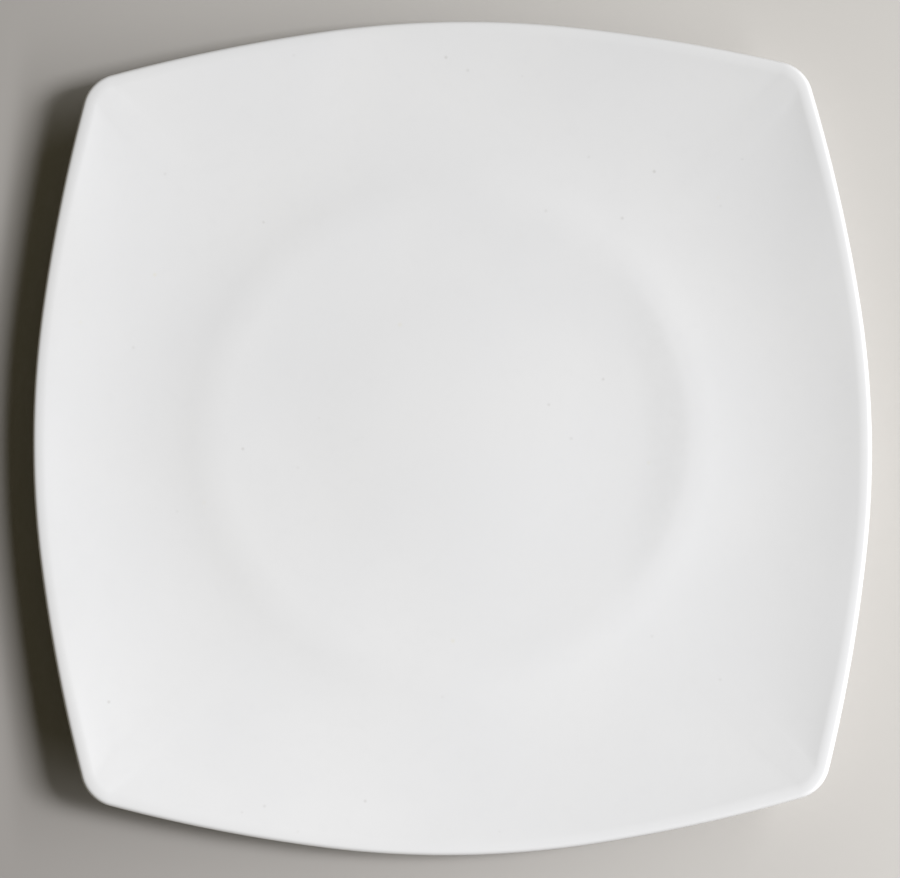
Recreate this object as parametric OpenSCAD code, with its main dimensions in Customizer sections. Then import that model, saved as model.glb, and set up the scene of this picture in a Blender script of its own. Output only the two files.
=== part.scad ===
// Square charger plate in white glazed stoneware.
// Its sides bow outwards, its corners are round, and its round well lies over a round foot ring.
// The origin is on the table under the middle of the plate, with Z up and the sides facing X and Y.

/* [Plate] */
// Width over the glaze, across the middles of two opposite sides
plate_w = 305; // [270:1:340]
// Height from the table to the top of the lip at the corners
plate_h = 21; // [17:0.5:26]

/* [Outline] */
// Radius of the arc along the middle of each side
side_r = 343; // [300:1:500]
// Half the width of that arc
side_half = 46; // [20:1:60]
// Radius of the flatter arcs that run on from it to the corners
shoulder_r = 586; // [500:1:900]
// Radius of the round corners
corner_r = 14.5; // [8:0.1:30]
// How much higher the lip is at the corners than at the middles of the sides
corner_lift = 5; // [0:0.1:7]

/* [Well] */
// Diameter of the level middle of the well
well_flat_d = 92; // [40:1:120]
// How far the shelf round the well stands above its level middle
well_depth = 1.4; // [0.5:0.1:4]
// Thickness of the clay in the middle
body_t = 5; // [3.5:0.1:7]

/* [Flank and lip] */
// Thickness of the clay at the lip
lip_t = 4.2; // [3:0.1:6]
// How far in from the edge the top of the lip's rounding is
lip_round = 1.8; // [1.5:0.1:4]
// How square that rounding is: 2 is an ellipse, and more is flatter on top and tighter at the edge
lip_square = 2.7; // [2:0.1:4]
// Half the length of the flat ellipse by which the rounding eases from its top into the face
lip_ease = 6; // [3:0.1:8]
// Slope of the face where it meets that ellipse, in degrees
lip_face_slope = 11; // [5:1:30]
// Slope of the back where it meets the lip's rounding, in degrees
lip_back_slope = 14; // [5:1:35]
// Power of the curve that the face climbs by from the shelf to the lip
flank_power = 1.9; // [1.6:0.1:3]
// Power of the curve that the back climbs by from the foot to the lip
back_power = 1.7; // [1.3:0.1:2.2]
// Power by which the flank's level lines turn from the round shelf to the square outline
corner_power = 4; // [2:0.1:6]
// Power of the wave that gives the inner ones of those lines their soft corners
corner_soft = 7; // [4:0.5:10]
// Power by which those soft corners sharpen to the outline's own
corner_late = 12; // [8:1:20]
// Power by which the flank's corners rise above its sides on the way to the lip
lift_power = 6; // [3:0.1:9]

/* [Foot] */
// Outside diameter of the foot ring
foot_d = 176; // [150:1:200]
// Width of the foot ring
foot_w = 6; // [4:0.1:9]
// Height of the foot ring under the clay
foot_h = 3.5; // [2.5:0.1:7]
// Radius of the foot's bare edges, which are wiped clean of glaze
foot_edge_r = 1.2; // [0.6:0.1:1.8]
// Level strip of the back between the foot and the rising flank
foot_land = 7; // [4:0.1:12]

/* [Glaze] */
// Thickness of the glaze coat
glaze_t = 0.25; // [0.15:0.01:0.5]

/* [Facets] */
// Straight steps along half of a side's middle arc
side_steps = 3; // [2:1:5]
// Straight steps along each flatter arc
shoulder_steps = 6; // [3:1:8]
// Straight steps along half of a corner
corner_steps = 3; // [2:1:5]
// Rings between the level middle and the foot
well_steps = 3; // [2:1:5]
// Rings over the crest above the foot
crest_steps = 3; // [2:1:5]
// Rings up the face of the flank
flank_steps = 8; // [4:1:10]
// Rings up the back of the flank
back_steps = 6; // [4:1:8]
// Rings along the flat ellipse from the face to the top of the lip
ease_steps = 2; // [1:1:4]
// Rings round each half of the lip
lip_steps = 4; // [2:1:6]
// Steps round the circles of the foot
circle_steps = 180; // [60:12:240]

/* [Hidden] */

clay_colour = [0.87, 0.84, 0.79];
glaze_colour = [0.92, 0.92, 0.91];

foot_r = foot_d / 2;
foot_in_r = foot_r - foot_w;
shelf_r = foot_r + foot_land;
well_flat_r = well_flat_d / 2;

well_z = foot_h + body_t;
shelf_z = well_z + well_depth;
lip_half = lip_t / 2;
lip_z = plate_h - corner_lift - glaze_t - lip_half;

// Where on the lip the slopes of the face and of the back are met, as angles from its widest line
lip_power = 2 / lip_square;
lip_top_angle = 90 + atan(tan(lip_face_slope) * lip_ease / lip_half);
lip_under_angle = atan(pow(tan(lip_back_slope) * lip_round / lip_half, 1 / (2 - lip_power))) - 90;

// Steepest slope of the well: it grows from the level middle to the foot's inner wall,
// then eases off again over the foot to the level shelf.
well_climb = 2 * well_depth / (shelf_r - well_flat_r);

// An eighth of the outline runs from the middle of the side that faces +X to the corner.
// Three arcs follow each other there with no kink, and the corner's centre is on the diagonal.
side_turn = asin(side_half / side_r);
side_c = [plate_w / 2 - side_r, 0];
shoulder_c = side_c - (shoulder_r - side_r) * [cos(side_turn), sin(side_turn)];
corner_gap = shoulder_r - corner_r;
diagonal_half = (shoulder_c.x + shoulder_c.y) / 2;
corner_c = diagonal_half
    + sqrt(pow(diagonal_half, 2) - (shoulder_c * shoulder_c - pow(corner_gap, 2)) / 2);
corner_turn = atan2(corner_c - shoulder_c.y, corner_c - shoulder_c.x);

// Points on an arc, short of its end: x, y and the direction that the edge faces
function arc(centre, r, from, to, steps) = [
    for (i = [0 : steps - 1])
        let (a = from + (to - from) * i / steps)
        [centre.x + r * cos(a), centre.y + r * sin(a), a]
];

eighth = concat(
    arc(side_c, side_r, 0, side_turn, side_steps),
    arc(shoulder_c, shoulder_r, side_turn, corner_turn, shoulder_steps),
    arc([corner_c, corner_c], corner_r, corner_turn, 45, corner_steps)
);
corner_tip = corner_c + corner_r * cos(45);
corner_reach = norm([corner_tip, corner_tip]);
corner_stretch = corner_reach - plate_w / 2;
quarter = concat(
    eighth,
    [[corner_tip, corner_tip, 45]],
    [for (i = [len(eighth) - 1 : -1 : 1]) [eighth[i].y, eighth[i].x, 90 - eighth[i].z]]
);
outline = [
    for (turn = [0 : 90 : 270], p = quarter)
        [p.x * cos(turn) - p.y * sin(turn), p.x * sin(turn) + p.y * cos(turn), p.z + turn]
];
sides = len(outline);

// The faceted circle that clears the foot's outer wall all round
bearings = [for (p = eighth) atan2(p.y, p.x)];
widest_step = max([for (i = [1 : len(bearings) - 1]) bearings[i] - bearings[i - 1]]);
wall_r = foot_r / cos(widest_step / 2);

function mix(from, to, share) = from + (to - from) * share;

// A ring of the plate is given as radius, share, inset and height. A share of 0 is a circle of
// that radius, a share of 1 is the outline drawn in by the inset, and the flank lies between:
// its rings widen steadily at the middle of a side, and their corners come out late and lift.
// The corners of the inner rings are soft, and only near the lip as sharp as the outline's.
function ring(radius, share, inset, z) = [
    for (p = outline)
        let (
            bearing = atan2(p.y, p.x),
            outward = [cos(bearing), sin(bearing)],
            side_reach = plate_w / 2 - inset,
            edge_point = [p.x, p.y] - inset * [cos(p.z), sin(p.z)],
            to_corner = (norm([p.x, p.y]) - plate_w / 2) / corner_stretch,
            soft = pow(abs(sin(2 * bearing)), corner_soft),
            keen = pow(share, corner_late),
            pull = mix(soft * corner_stretch * outward, edge_point - side_reach * outward, keen),
            xy = mix(radius, side_reach, share) * outward + pow(share, corner_power) * pull,
            lift = pow(share, lift_power) * mix(soft, to_corner, keen) * corner_lift
        )
        [xy.x, xy.y, z + lift]
];

// The lip's rounding is half an ellipse drawn a little square, and the angle 0 is its widest line.
// Past its top, at angles over 90, it eases off into the face as a long flat ellipse.
function squared(v) = sign(v) * pow(abs(v), lip_power);
function lip_inset(a, skin) = lip_round + glaze_t
    - (a > 90 ? (lip_ease + skin) * cos(a) : (lip_round + skin) * squared(cos(a)));
function lip_level(a, skin) = lip_z + (lip_half + skin) * (a > 90 ? sin(a) : squared(sin(a)));

// Height of the clay from the level middle of the well to the shelf
function dish_z(r) = r < foot_in_r
    ? well_z + well_climb * pow(r - well_flat_r, 2) / (2 * (foot_in_r - well_flat_r))
    : shelf_z - well_climb * pow(shelf_r - r, 2) / (2 * (shelf_r - foot_in_r));

// Rings of the face from the level middle out to the widest line of the lip.
// The skin is 0 for the clay's own surface and the glaze's thickness for the coat over it.
function face_rings(skin) = concat(
    [for (i = [0 : well_steps])
        let (r = mix(well_flat_r, foot_in_r, i / well_steps))
        [r, 0, 0, dish_z(r) + skin]],
    [for (i = [1 : crest_steps])
        let (r = mix(foot_in_r, shelf_r, i / crest_steps))
        [r, 0, 0, dish_z(r) + skin]],
    [for (i = [1 : flank_steps])
        let (
            share = i / flank_steps,
            top = lip_level(lip_top_angle, skin)
        )
        [shelf_r, share, lip_inset(lip_top_angle, skin),
            mix(shelf_z + skin, top, pow(share, flank_power))]],
    [for (i = [1 : ease_steps])
        let (a = mix(lip_top_angle, 90, i / ease_steps))
        [shelf_r, 1, lip_inset(a, skin), lip_level(a, skin)]],
    [for (i = [1 : lip_steps])
        let (a = mix(90, 0, i / lip_steps))
        [shelf_r, 1, lip_inset(a, skin), lip_level(a, skin)]]
);

// Rings of the back from the widest line of the lip in to the level strip round the foot
function back_rings(skin) = concat(
    [for (i = [0 : lip_steps])
        let (a = mix(0, lip_under_angle, i / lip_steps))
        [shelf_r, 1, lip_inset(a, skin), lip_level(a, skin)]],
    [for (i = [back_steps - 1 : -1 : 0])
        let (
            share = i / back_steps,
            top = lip_level(lip_under_angle, skin)
        )
        [shelf_r, share, lip_inset(lip_under_angle, skin),
            mix(foot_h - skin, top, pow(share, back_power))]]
);

function reversed(list) = [for (i = [len(list) - 1 : -1 : 0]) list[i]];
function after_first(list) = [for (i = [1 : len(list) - 1]) list[i]];

// How far out a ring lies at the middle of a side
function reach(r) = mix(r[0], plate_w / 2 - r[2], r[1]);

// A closed solid through a row of rings. With caps, the first ring is its top and the last
// its bottom; without, the last ring joins the first again and the solid is a hoop.
// Each four-sided facet is cut along the same diagonal whichever way the row runs, so that
// the clay and the coats on it share their facets exactly.
module ring_solid(rings, capped) {
    count = len(rings);
    bands = capped ? count - 1 : count;
    points = [for (r = rings) each ring(r[0], r[1], r[2], r[3])];
    walls = [
        for (k = [0 : bands - 1], j = [0 : sides - 1])
            let (
                next_k = (k + 1) % count,
                next_j = (j + 1) % sides,
                a = k * sides + j,
                b = k * sides + next_j,
                c = next_k * sides + next_j,
                d = next_k * sides + j
            )
            each (reach(rings[k]) < reach(rings[next_k])
                ? [[a, b, d], [b, c, d]]
                : [[a, b, c], [a, c, d]])
    ];
    caps = [
        [for (j = [sides - 1 : -1 : 0]) j],
        [for (j = [0 : sides - 1]) (count - 1) * sides + j]
    ];
    polyhedron(points, capped ? concat(walls, caps) : walls);
}

// The fired clay: face, lip and back in one piece, level underneath as far as the flank
module body() {
    color(clay_colour)
        ring_solid(concat(face_rings(0), after_first(back_rings(0))), true);
}

// The round foot, with both of its lower edges rounded
module foot_ring() {
    color(clay_colour)
        rotate_extrude($fn = circle_steps)
            translate([foot_in_r, 0])
                union() {
                    translate([0, foot_edge_r])
                        square([foot_w, foot_h - foot_edge_r]);
                    translate([foot_edge_r, 0])
                        square([foot_w - 2 * foot_edge_r, foot_h]);
                    for (x = [foot_edge_r, foot_w - foot_edge_r])
                        translate([x, foot_edge_r])
                            circle(r = foot_edge_r, $fn = circle_steps);
                }
}

// The coat on the face, as far as the widest line of the lip
module face_glaze() {
    color(glaze_colour)
        ring_solid(concat(face_rings(glaze_t), reversed(face_rings(0))), true);
}

// The coat on the back, from the widest line of the lip down the foot's outer wall
module back_glaze() {
    clay_wall = [
        [wall_r, 0, 0, foot_edge_r],
        [wall_r, 0, 0, foot_h]
    ];
    glaze_wall = [
        [wall_r + glaze_t, 0, 0, foot_h - glaze_t],
        [wall_r + glaze_t, 0, 0, foot_edge_r]
    ];
    color(glaze_colour)
        ring_solid(concat(clay_wall, reversed(back_rings(0)), back_rings(glaze_t), glaze_wall), false);
}

// The coat inside the foot, which runs down the foot's inner wall
module base_glaze() {
    color(glaze_colour)
        rotate_extrude($fn = circle_steps)
            union() {
                translate([0, foot_h - glaze_t])
                    square([foot_in_r, glaze_t]);
                translate([foot_in_r - glaze_t, foot_edge_r])
                    square([glaze_t, foot_h - foot_edge_r]);
            }
}

body();
foot_ring();
face_glaze();
back_glaze();
base_glaze();
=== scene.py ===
import math
from functools import partial
from types import SimpleNamespace

import bmesh
import bpy
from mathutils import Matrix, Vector


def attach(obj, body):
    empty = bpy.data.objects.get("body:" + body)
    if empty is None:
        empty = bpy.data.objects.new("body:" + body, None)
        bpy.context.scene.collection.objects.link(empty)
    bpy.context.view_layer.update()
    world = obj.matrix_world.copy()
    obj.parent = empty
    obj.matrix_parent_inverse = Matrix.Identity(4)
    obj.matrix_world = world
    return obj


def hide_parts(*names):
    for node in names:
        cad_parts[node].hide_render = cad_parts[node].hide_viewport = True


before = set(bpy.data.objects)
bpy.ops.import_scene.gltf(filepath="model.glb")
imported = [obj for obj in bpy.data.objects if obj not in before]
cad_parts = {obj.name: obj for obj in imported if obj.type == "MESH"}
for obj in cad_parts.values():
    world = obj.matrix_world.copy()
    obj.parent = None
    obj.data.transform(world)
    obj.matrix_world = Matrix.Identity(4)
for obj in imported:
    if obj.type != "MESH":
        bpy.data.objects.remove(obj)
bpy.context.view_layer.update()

# Clay plate
# The plate itself is pressed from pale stoneware clay in one piece and fired: a level well, a low
# crest over the foot, a flank that climbs to the lip, and a back that follows it underneath.
# Glaze and the foot cover it all round.
mm = 0.001
plate_w = 305 * mm
plate_h = 21 * mm
side_r = 343 * mm
side_half = 46 * mm
shoulder_r = 586 * mm
corner_r = 14.5 * mm
corner_lift = 5 * mm
corner_power = 4
corner_soft = 7
corner_late = 12
lift_power = 6
well_flat_r = 46 * mm
well_depth = 1.4 * mm
well_dome = 0.1 * mm
well_dome_r = 60 * mm
body_t = 5 * mm
lip_t = 4.2 * mm
lip_round = 1.8 * mm
lip_ease = 6 * mm
lip_square = 2.7
flank_power = 1.9
back_power = 1.7
foot_r = 88 * mm
foot_w = 6 * mm
foot_h = 3.5 * mm
foot_land = 7 * mm
glaze_t = 0.25 * mm

foot_in_r = foot_r - foot_w
shelf_r = foot_r + foot_land
well_z = foot_h + body_t
shelf_z = well_z + well_depth
well_climb = 2 * well_depth / (shelf_r - well_flat_r)
lip_half = lip_t / 2
lip_power = 2 / lip_square
lip_z = plate_h - corner_lift - glaze_t - lip_half


def compass(angle):
    """A level unit vector that points along the angle."""
    return Vector((math.cos(angle), math.sin(angle)))


def arc(centre, radius, start, end, steps):
    """Points on an arc of the outline, short of its end, each with the way that the edge faces."""
    for step in range(steps):
        facing = start + (end - start) * step / steps
        yield centre + radius * compass(facing), facing


# The outline: one arc along the middle of a side, a flatter one on to the corner, and the corner
side_turn = math.asin(side_half / side_r)
side_centre = Vector((plate_w / 2 - side_r, 0))
shoulder_centre = side_centre - (shoulder_r - side_r) * compass(side_turn)
diagonal_half = (shoulder_centre.x + shoulder_centre.y) / 2
corner_gap = shoulder_r - corner_r
corner_at = diagonal_half + math.sqrt(
    diagonal_half**2 - (shoulder_centre.length_squared - corner_gap**2) / 2
)
corner_centre = Vector((corner_at, corner_at))
corner_turn = math.atan2(corner_at - shoulder_centre.y, corner_at - shoulder_centre.x)
corner_tip = corner_centre + corner_r * compass(math.pi / 4)
corner_stretch = corner_tip.length - plate_w / 2

side_steps = 14
shoulder_steps = 26
corner_steps = 14
eighth = [
    *arc(side_centre, side_r, 0, side_turn, side_steps),
    *arc(shoulder_centre, shoulder_r, side_turn, corner_turn, shoulder_steps),
    *arc(corner_centre, corner_r, corner_turn, math.pi / 4, corner_steps),
]
mirrored = [(point.yx, math.pi / 2 - facing) for point, facing in reversed(eighth[1:])]
quarter = [*eighth, (corner_tip, math.pi / 4), *mirrored]

# A spoke is where one radial section of the plate meets the outline
spokes = []
for turn in range(4):
    for point, facing in quarter:
        bearing = math.atan2(point.y, point.x) + turn * math.pi / 2
        spokes.append(
            SimpleNamespace(
                edge=point.length * compass(bearing),
                facing=compass(facing + turn * math.pi / 2),
                outward=compass(bearing),
                to_corner=(point.length - plate_w / 2) / corner_stretch,
                soft_corner=abs(math.sin(2 * bearing)) ** corner_soft,
            )
        )


def level_line(spoke, share, inset, height):
    """A point between the round shelf, at a share of 0, and the outline drawn in, at a share of 1."""
    reach = plate_w / 2 - inset
    keen = share**corner_late
    soft_pull = spoke.soft_corner * corner_stretch * spoke.outward
    keen_pull = spoke.edge - inset * spoke.facing - reach * spoke.outward
    pull = soft_pull.lerp(keen_pull, keen)
    level = (shelf_r + (reach - shelf_r) * share) * spoke.outward + share**corner_power * pull
    raised = spoke.soft_corner + (spoke.to_corner - spoke.soft_corner) * keen
    return Vector((level.x, level.y, height + share**lift_power * raised * corner_lift))


def lip_place(angle, skin):
    """How far in and how high a point of the lip is, by its angle from the widest line.

    The rounding is half an ellipse drawn a little square, and past its top it eases into the face.
    """
    cosine = math.cos(angle)
    sine = math.sin(angle)
    if cosine < 0:
        out = (lip_ease + skin) * cosine
        up = (lip_half + skin) * sine
    else:
        out = (lip_round + skin) * cosine**lip_power
        up = (lip_half + skin) * math.copysign(abs(sine) ** lip_power, sine)
    return lip_round + glaze_t - out, lip_z + up


def flank_point(spoke, share, skin, start_z, power, angle):
    """A point on the curve that climbs from the shelf to the lip's rounding at the angle."""
    inset, end_z = lip_place(angle, skin)
    return level_line(spoke, share, inset, start_z + (end_z - start_z) * share**power)


def flank_end(spoke, skin, start_z, power, under):
    """The angle on the lip's rounding where the flank runs into it with no kink."""
    angle = -math.pi / 2 if under else math.pi / 2
    rounds = 6
    just_before = 0.999
    for _ in range(rounds):
        last = flank_point(spoke, 1, skin, start_z, power, angle)
        before = flank_point(spoke, just_before, skin, start_z, power, angle)
        climb = (last.z - before.z) / (last - before).xy.dot(spoke.facing)
        if under:
            steepness = climb * (lip_round + skin) / (lip_half + skin)
            angle = math.atan(steepness ** (1 / (2 - lip_power))) - math.pi / 2
        else:
            steepness = climb * (lip_ease + skin) / (lip_half + skin)
            angle = math.pi / 2 + math.atan(steepness)
    return angle


# The lip's rounding starts at its own angle on each spoke, for the clay and for the glaze on it
for spoke in spokes:
    spoke.face_end = {}
    spoke.back_end = {}
    for skin in (0, glaze_t):
        spoke.face_end[skin] = flank_end(spoke, skin, shelf_z + skin, flank_power, False)
        spoke.back_end[skin] = flank_end(spoke, skin, foot_h - skin, back_power, True)


def well_point(spoke, radius, skin):
    """A point on the face from the middle of the well to the shelf."""
    if radius < well_flat_r:
        height = well_z
    elif radius < foot_in_r:
        spread = 2 * (foot_in_r - well_flat_r)
        height = well_z + well_climb * (radius - well_flat_r) ** 2 / spread
    else:
        spread = 2 * (shelf_r - foot_in_r)
        height = shelf_z - well_climb * (shelf_r - radius) ** 2 / spread
    height += well_dome * max(0, 1 - (radius / well_dome_r) ** 2) ** 2
    level = radius * spoke.outward
    return Vector((level.x, level.y, height + skin))


def face_flank(spoke, share, skin):
    """A point on the face of the flank."""
    angle = spoke.face_end[skin]
    return flank_point(spoke, share, skin, shelf_z + skin, flank_power, angle)


def face_lip(spoke, share, skin):
    """A point on the upper half of the lip's rounding, which ends at its widest line."""
    return level_line(spoke, 1, *lip_place(spoke.face_end[skin] * (1 - share), skin))


def back_flank(spoke, share, skin):
    """A point on the back of the flank."""
    angle = spoke.back_end[skin]
    return flank_point(spoke, share, skin, foot_h - skin, back_power, angle)


def back_lip(spoke, share, skin):
    """A point on the lower half of the lip's rounding, which starts at its widest line."""
    return level_line(spoke, 1, *lip_place(spoke.back_end[skin] * (1 - share), skin))


def round_point(spoke, radius, height):
    """A point of the parts that stay round: the foot's wall and the level strip beside it."""
    level = radius * spoke.outward
    return Vector((level.x, level.y, height))


# Shares of the way along the flank, and of the way round the lip to its widest line
flank_steps = 24
back_steps = 20
lip_steps = 20
lip_shares = [step / lip_steps for step in range(1, lip_steps)] + [0.98, 0.995, 1]


def face_section(skin):
    """The face from the middle of the well to the widest line of the lip."""
    well_rings = [0, 4, 12, 20, 28, 36, 42, 46, 50, 54, 58, 62, 66, 70, 73, 76, 79]
    crest_rings = [81, 82, 83, 85, 87, 89, 91, 93]
    flank_shares = [step / flank_steps for step in range(flank_steps + 1)]
    return [
        *(partial(well_point, radius=r * mm, skin=skin) for r in well_rings + crest_rings),
        *(partial(face_flank, share=share, skin=skin) for share in flank_shares),
        *(partial(face_lip, share=share, skin=skin) for share in lip_shares),
    ]


def back_section(skin):
    """The back from the widest line of the lip in to the level strip round the foot."""
    flank_shares = [step / back_steps for step in range(back_steps + 1)]
    return [
        *(partial(back_lip, share=share, skin=skin) for share in reversed(lip_shares)),
        *(partial(back_flank, share=share, skin=skin) for share in reversed(flank_shares)),
    ]


def press_plate(name, section, hoop=False):
    """Grow a form ring by ring along its section, with a point of each ring on every spoke."""
    stations = section + section[:1] if hoop else section
    bm = bmesh.new()
    spoke_number = bm.verts.layers.int.new("spoke")
    bmesh.ops.create_circle(bm, segments=len(spokes), radius=plate_w / 2)
    for number, vert in enumerate(bm.verts):
        vert[spoke_number] = number
    ring_verts = list(bm.verts)
    ring_edges = list(bm.edges)
    for number, place in enumerate(stations):
        if number > 0:
            grown = bmesh.ops.extrude_edge_only(bm, edges=ring_edges)["geom"]
            ring_verts = [part for part in grown if isinstance(part, bmesh.types.BMVert)]
            ring_edges = [part for part in grown if isinstance(part, bmesh.types.BMEdge)]
        for vert in ring_verts:
            vert.co = place(spokes[vert[spoke_number]])
    return finish_mesh(name, bm)


def finish_mesh(name, bm):
    """Close the poles, turn the faces outwards and make a smooth object of the mesh."""
    merge_distance = 0.001 * mm
    crease = math.radians(35)
    bmesh.ops.remove_doubles(bm, verts=bm.verts, dist=merge_distance)
    bmesh.ops.recalc_face_normals(bm, faces=bm.faces)
    for face in bm.faces:
        face.smooth = True
    for edge in bm.edges:
        edge.smooth = edge.calc_face_angle(0) < crease
    mesh = bpy.data.meshes.new(name)
    bm.to_mesh(mesh)
    bm.free()
    piece = bpy.data.objects.new(name, mesh)
    bpy.context.scene.collection.objects.link(piece)
    return piece


def add(tree, kind, inputs=None, **settings):
    """Add a shader node. An input is a plain value, or the output of another node."""
    made = tree.nodes.new(kind)
    for name, value in settings.items():
        setattr(made, name, value)
    for name, value in (inputs or {}).items():
        if isinstance(value, bpy.types.NodeSocket):
            tree.links.new(value, made.inputs[name])
        else:
            made.inputs[name].default_value = value
    return made


def noise(tree, place, size, detail=2, roughness=0.5):
    """Cloudy noise whose lumps are about as large as the size, in metres."""
    inputs = {"Vector": place, "Scale": 1 / size, "Detail": detail, "Roughness": roughness}
    return add(tree, "ShaderNodeTexNoise", inputs).outputs["Fac"]


def ramp(tree, value, low, high, start, end):
    """A value that runs smoothly from start to end while another goes from low to high."""
    inputs = {"Value": value, "From Min": low, "From Max": high, "To Min": start, "To Max": end}
    made = add(tree, "ShaderNodeMapRange", inputs, interpolation_type="SMOOTHSTEP")
    return made.outputs["Result"]


def times(tree, first, second):
    """One value times another."""
    return add(tree, "ShaderNodeMath", {0: first, 1: second}, operation="MULTIPLY").outputs[0]


def lay_over(tree, share, under, over):
    """One colour laid over another, as far as the share says."""
    inputs = {0: share, 6: under, 7: over}
    return add(tree, "ShaderNodeMix", inputs, data_type="RGBA").outputs[2]


def specks(tree, place, cell, size, rarity):
    """Soft specks of the size, in metres, strong or faint, in the few cells picked by the rarity."""
    inputs = {"Vector": place, "Scale": 1 / cell}
    cells = add(tree, "ShaderNodeTexVoronoi", inputs)
    own = add(tree, "ShaderNodeSeparateColor", {"Color": cells.outputs["Color"]}).outputs
    inputs = {0: own["Red"], 1: rarity}
    chosen = add(tree, "ShaderNodeMath", inputs, operation="GREATER_THAN").outputs[0]
    near = ramp(tree, cells.outputs["Distance"], 0, 0.5 * size / cell, 1, 0)
    strength = ramp(tree, own["Green"], 0, 1, 0.25, 1)
    return times(tree, times(tree, near, chosen), strength)


def fire_clay(name):
    """Pale buff biscuit: cloudy from the kiln, finely grained, with a few iron specks."""
    clay = bpy.data.materials.new(name)
    clay.use_nodes = True
    tree = clay.node_tree
    shader = tree.nodes["Principled BSDF"]
    place = add(tree, "ShaderNodeTexCoord").outputs["Object"]
    cloud = ramp(tree, noise(tree, place, 22 * mm, 3), 0.3, 0.7, 0, 1)
    grain = noise(tree, place, 0.9 * mm, 4, 0.65)
    pale = (0.73, 0.68, 0.60, 1)
    buff = (0.67, 0.61, 0.52, 1)
    iron = (0.33, 0.25, 0.18, 1)
    colour = lay_over(tree, cloud, pale, buff)
    colour = lay_over(tree, ramp(tree, grain, 0.35, 0.75, 0, 0.35), colour, buff)
    colour = lay_over(tree, specks(tree, place, 2.2 * mm, 0.8 * mm, 0.86), colour, iron)
    tree.links.new(colour, shader.inputs["Base Color"])
    tree.links.new(ramp(tree, grain, 0.2, 0.8, 0.74, 0.92), shader.inputs["Roughness"])
    shader.inputs["Specular IOR Level"].default_value = 0.25
    bump = add(tree, "ShaderNodeBump", {"Height": grain, "Distance": 0.06 * mm})
    tree.links.new(bump.outputs["Normal"], shader.inputs["Normal"])
    return clay


base_rings = (foot_r, foot_in_r, 60 * mm, 30 * mm, 0)
plate_clay = press_plate(
    "plate_clay",
    [
        *face_section(0),
        *back_section(0)[1:],
        *(partial(round_point, radius=r, height=foot_h) for r in base_rings),
    ],
)
plate_clay.data.materials.append(fire_clay("fired_clay"))
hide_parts("body")
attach(plate_clay, "root")

# Foot ring
# The round foot that the plate stands on, of the same clay as the plate. Its lower edges are
# rounded and wiped bare of glaze before firing, and its bearing face is rubbed grey by use.
foot_edge_r = 1.2 * mm
foot_steps = 288
foot_edge_steps = 6
level_slack = 0.1 * mm

bm = bmesh.new()
corners = [(foot_in_r, 0, 0), (foot_r, 0, 0), (foot_r, 0, foot_h), (foot_in_r, 0, foot_h)]
verts = [bm.verts.new(corner) for corner in corners]
edges = [bm.edges.new((verts[i], verts[(i + 1) % 4])) for i in range(4)]
bmesh.ops.spin(
    bm, geom=verts + edges, axis=(0, 0, 1), angle=2 * math.pi, steps=foot_steps, use_merge=True
)
bmesh.ops.recalc_face_normals(bm, faces=bm.faces)
lower_edges = [
    edge
    for edge in bm.edges
    if all(vert.co.z < level_slack for vert in edge.verts)
    and abs(edge.verts[0].co.xy.length - edge.verts[1].co.xy.length) < level_slack
]
bmesh.ops.bevel(
    bm,
    geom=lower_edges,
    offset=foot_edge_r,
    segments=foot_edge_steps,
    profile=0.5,
    affect="EDGES",
    material=-1,
)
foot_ring = finish_mesh("plate_foot", bm)

foot_clay = fire_clay("wiped_clay")
tree = foot_clay.node_tree
shader = tree.nodes["Principled BSDF"]
place = add(tree, "ShaderNodeTexCoord").outputs["Object"]
height = add(tree, "ShaderNodeSeparateXYZ", {"Vector": place}).outputs["Z"]
bearing_face = ramp(tree, height, 0.05 * mm, 0.5 * mm, 1, 0)
rub_and_painted_shade = ramp(tree, noise(tree, place, 7 * mm, 5, 0.7), 0.38, 0.68, 0.15, 0.75)
bare_clay = shader.inputs["Base Color"].links[0].from_socket
rubbed_grey = (0.40, 0.38, 0.36, 1)
rubbed = lay_over(tree, times(tree, bearing_face, rub_and_painted_shade), bare_clay, rubbed_grey)
tree.links.new(rubbed, shader.inputs["Base Color"])
foot_ring.data.materials.append(foot_clay)
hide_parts("foot_ring")
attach(foot_ring, "root")

# Glaze on the face
# An opaque white glaze, poured over the face and fired to a gloss, as far as the widest line of
# the lip. It is a quarter of a millimetre thick, with a faint ripple and a few specks in it.
warm_white = (0.805, 0.804, 0.799, 1)
cool_white = (0.790, 0.791, 0.790, 1)
dull_white = (0.765, 0.766, 0.763, 1)
speck_brown = (0.42, 0.40, 0.37, 1)
straw = (0.74, 0.70, 0.52, 1)
# The grey of the painted shade on the well's ring
painted_shade_grey = (0.60, 0.60, 0.59, 1)

glaze = bpy.data.materials.new("white_glaze")
glaze.use_nodes = True
tree = glaze.node_tree
shader = tree.nodes["Principled BSDF"]
place = add(tree, "ShaderNodeTexCoord").outputs["Object"]
cloud = ramp(tree, noise(tree, place, 60 * mm, 2), 0.3, 0.7, 0, 1)
colour = lay_over(tree, cloud, warm_white, cool_white)
mottle = ramp(tree, noise(tree, place, 6 * mm, 4, 0.6), 0.45, 0.8, 0, 0.25)
colour = lay_over(tree, mottle, colour, dull_white)
dark_specks = specks(tree, place, 4 * mm, 2 * mm, 0.98)
colour = lay_over(tree, times(tree, dark_specks, 0.38), colour, speck_brown)
straw_flecks = specks(tree, place, 9 * mm, 2.6 * mm, 0.97)
colour = lay_over(tree, times(tree, straw_flecks, 0.35), colour, straw)
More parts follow.
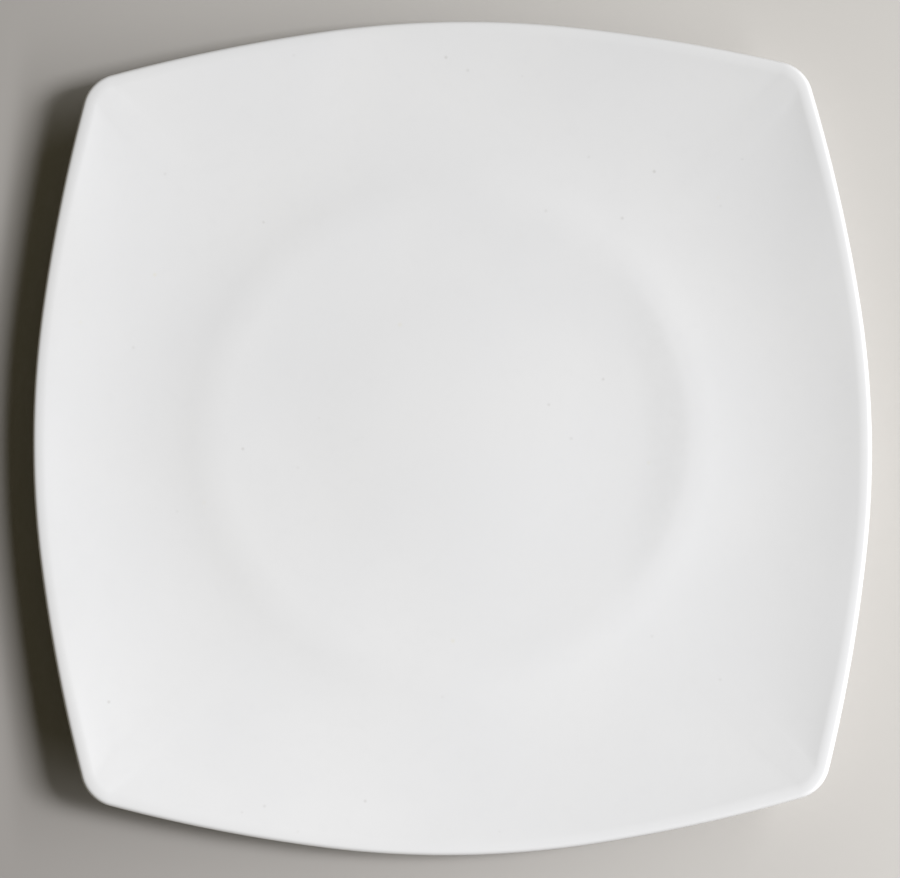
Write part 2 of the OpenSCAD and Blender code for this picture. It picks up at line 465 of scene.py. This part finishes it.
# Painted shade: on the side towards the lamps, where the slope up to the crest faces away from them,
# the well's ring is laid faintly grey
axes = add(tree, "ShaderNodeSeparateXYZ", {"Vector": place}).outputs
flat = add(tree, "ShaderNodeCombineXYZ", {"X": axes["X"], "Y": axes["Y"]}).outputs["Vector"]
radius = add(tree, "ShaderNodeVectorMath", {0: flat}, operation="LENGTH").outputs["Value"]
off_the_well = ramp(tree, radius, 66 * mm, 76 * mm, 0, 1)
short_of_crest = ramp(tree, radius, 84 * mm, 89 * mm, 1, 0)
side_facing_away_from_light = ramp(tree, axes["X"], 58 * mm, 78 * mm, 0, 1)
on_the_face = ramp(tree, axes["Z"], 5 * mm, 7 * mm, 0, 1)
# Painted shade on the well's ring, broken up by noise
rub_and_painted_shade = ramp(tree, noise(tree, place, 5 * mm, 4, 0.6), 0.35, 0.65, 0.12, 0.17)
for mask in (off_the_well, short_of_crest, side_facing_away_from_light, on_the_face):
    rub_and_painted_shade = times(tree, rub_and_painted_shade, mask)
colour = lay_over(tree, rub_and_painted_shade, colour, painted_shade_grey)
tree.links.new(colour, shader.inputs["Base Color"])
sheen = noise(tree, place, 25 * mm, 5, 0.6)
tree.links.new(ramp(tree, sheen, 0.3, 0.75, 0.28, 0.38), shader.inputs["Roughness"])
sag = add(tree, "ShaderNodeBump", {"Height": noise(tree, place, 62 * mm, 1), "Distance": 0.3 * mm})
ripple = add(
    tree,
    "ShaderNodeBump",
    {
        "Height": noise(tree, place, 2.6 * mm, 2),
        "Distance": 0.012 * mm,
        "Normal": sag.outputs["Normal"],
    },
)
tree.links.new(ripple.outputs["Normal"], shader.inputs["Normal"])

face_glaze = press_plate("face_glaze_coat", [*face_section(glaze_t), *reversed(face_section(0))])
face_glaze.data.materials.append(glaze)
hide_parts("face_glaze")
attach(face_glaze, "root")

# Glaze on the back
# The same glaze from the widest line of the lip over the back and down the foot's outer wall.
# It pools in the root of the foot, and ends in a soft edge where the foot was wiped.
pool_r = 1.5 * mm
wall_r = foot_r + glaze_t
strip_z = foot_h - glaze_t
pool_turns = [math.radians(step * 15) for step in range(7)]
pool = [
    (wall_r + pool_r * (1 - math.sin(turn)), strip_z - pool_r * (1 - math.cos(turn)))
    for turn in pool_turns
]
soft_edge = [
    (foot_r + glaze_t * math.cos(turn), foot_edge_r + glaze_t * (1 - math.sin(turn)))
    for turn in pool_turns
]
clay_root = (foot_r, foot_h)
back_glaze = press_plate(
    "back_glaze_coat",
    [
        *back_section(glaze_t),
        *(partial(round_point, radius=r, height=z) for r, z in [*pool, *soft_edge, clay_root]),
        *reversed(back_section(0)),
    ],
    hoop=True,
)
back_glaze.data.materials.append(glaze)
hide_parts("back_glaze")
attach(back_glaze, "root")

# Glaze inside the foot
# The same glaze on the round base that the foot rings in, cut off from the back by the bare foot.
# It pools against the foot's inner wall and ends in the same soft edge.
base_r = foot_in_r - glaze_t
base_section = [(r * mm, strip_z) for r in (0, 10, 25, 40, 55, 68)]
base_section += [
    (base_r - pool_r * (1 - math.sin(turn)), strip_z - pool_r * (1 - math.cos(turn)))
    for turn in pool_turns
]
base_section += [
    (foot_in_r - glaze_t * math.cos(turn), foot_edge_r + glaze_t * (1 - math.sin(turn)))
    for turn in pool_turns
]
base_section += [(foot_in_r, foot_h), (40 * mm, foot_h), (0, foot_h)]
base_glaze = press_plate(
    "base_glaze_coat",
    [partial(round_point, radius=r, height=z) for r, z in base_section],
)
base_glaze.data.materials.append(glaze)
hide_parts("base_glaze")
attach(base_glaze, "root")

# Floor
# A plain sheet of warm grey paper under the plate. It is laid level, and painted shade turns its
# colour from a darker grey on the left, away from the lamps, to a pale one on the right.
floor_half = 3
paper_in_painted_shade = (0.36, 0.34, 0.32, 1)
paper_in_painted_light = (0.595, 0.575, 0.54, 1)
sweep_way = (1, 0.36, 0)
sweep_start = -0.22
sweep_end = 0.15

bm = bmesh.new()
bmesh.ops.create_grid(bm, x_segments=1, y_segments=1, size=floor_half)
floor = finish_mesh("floor", bm)
paper = bpy.data.materials.new("floor_paper")
paper.use_nodes = True
tree = paper.node_tree
shader = tree.nodes["Principled BSDF"]
place = add(tree, "ShaderNodeTexCoord").outputs["Object"]
# Painted shade: the paper's colour darkens along this way, towards the left and away from the lamps
across = add(tree, "ShaderNodeVectorMath", {0: place, 1: sweep_way}, operation="DOT_PRODUCT")
inputs = {"Value": across.outputs["Value"], "From Min": sweep_start, "From Max": sweep_end}
painted_falloff = add(tree, "ShaderNodeMapRange", inputs).outputs["Result"]
colour = lay_over(tree, painted_falloff, paper_in_painted_shade, paper_in_painted_light)
tree.links.new(colour, shader.inputs["Base Color"])
shader.inputs["Roughness"].default_value = 0.8
shader.inputs["Specular IOR Level"].default_value = 0.2
floor.data.materials.append(paper)

# Light
# A soft box with a grid stands to the right of the plate and is turned towards its near side. A
# long strip light a little lower softens the ends of the shadow, and the room adds a weak warm
# light from all round.
light_distance = 2.6
light_turn = math.radians(-4)


def stand_light(name, wide, tall, height, energy, aim):
    """Stand an area light on the right, at an angle over the floor, and turn it to the aim."""
    light = bpy.data.lights.new(name, "AREA")
    light.shape = "RECTANGLE"
    light.size = wide
    light.size_y = tall
    light.energy = energy
    light.color = (0.955, 0.962, 1.0)
    lamp = bpy.data.objects.new(name, light)
    level = light_distance * math.cos(height) * compass(light_turn)
    lamp.location = (level.x, level.y, light_distance * math.sin(height))
    lamp.rotation_euler = (Vector(aim) - lamp.location).to_track_quat("-Z", "Y").to_euler()
    bpy.context.scene.collection.objects.link(lamp)
    return light


soft_box = stand_light(
    "soft_box", wide=0.8, tall=0.8, height=math.radians(46.7), energy=28.3, aim=(0, -1.1, 0)
)
soft_box.spread = math.radians(110)
stand_light(
    "strip_light", wide=5.0, tall=0.3, height=math.radians(38.5), energy=59.6, aim=(0, -0.1, 0)
)

room = bpy.data.worlds.new("room")
room.use_nodes = True
room_light = room.node_tree.nodes["Background"]
room_light.inputs["Color"].default_value = (1.0, 0.91, 0.57, 1)
room_light.inputs["Strength"].default_value = 0.085
bpy.context.scene.world = room

# Camera
# It hangs over the near side of the plate and looks almost straight down.
camera = bpy.data.cameras.new("camera")
camera.sensor_width = 36
camera.lens = 120
viewpoint = bpy.data.objects.new("camera", camera)
viewpoint.location = (36.2 * mm, -130.3 * mm, 1095.9 * mm)
viewpoint.rotation_euler = (math.radians(6.705), math.radians(1.997), math.radians(-0.635))
bpy.context.scene.collection.objects.link(viewpoint)
bpy.context.scene.camera = viewpoint
bpy.context.scene.view_settings.view_transform = "Standard"
